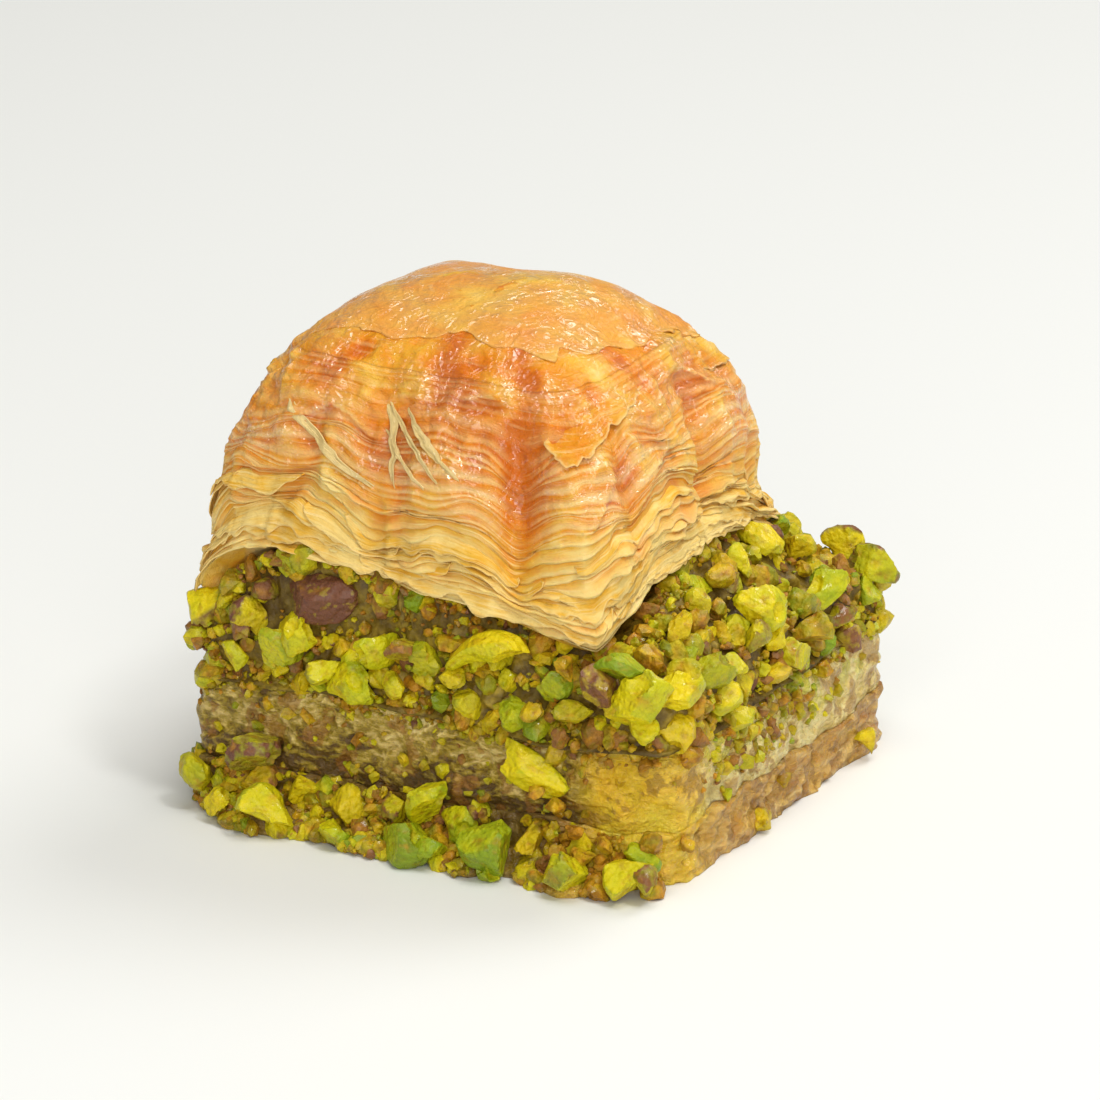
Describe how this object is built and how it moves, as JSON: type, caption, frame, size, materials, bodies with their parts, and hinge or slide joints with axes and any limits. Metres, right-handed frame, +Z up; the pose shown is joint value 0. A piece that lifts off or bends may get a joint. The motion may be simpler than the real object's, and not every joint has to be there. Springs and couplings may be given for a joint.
{
  "type": "baklava piece",
  "caption": "Square piece of pistachio baklava: syrup-soaked bottom pastry, a cream layer, chopped pistachio that shows at every side, and a puffed crust of thin leaves.",
  "frame": {"origin": "middle of the footprint, on the face that the square rests on", "axes": "+Z up; +X and +Y along the cut sides, with the crust's near tip at +X and -Y"},
  "size_m": [0.0478, 0.0483, 0.0425],
  "materials": {
    "soaked_pastry": "syrup-soaked pastry, brown and moist, with chopped nuts stuck to it",
    "set_cream": "moist set cream between soaked leaves, slightly translucent",
    "chopped_pistachio": "chopped nuts, yellow-green where cut and purple-brown on the skin",
    "baked_leaves": "golden baked leaves, glazed with syrup on top and pale at their lower edges"
  },
  "bodies": {
    "root": {"bottom_pastry": "soaked_pastry", "cream_layer": "set_cream", "pistachio_filling": "chopped_pistachio", "pastry_crust": "baked_leaves"}
  },
  "joints": []
}
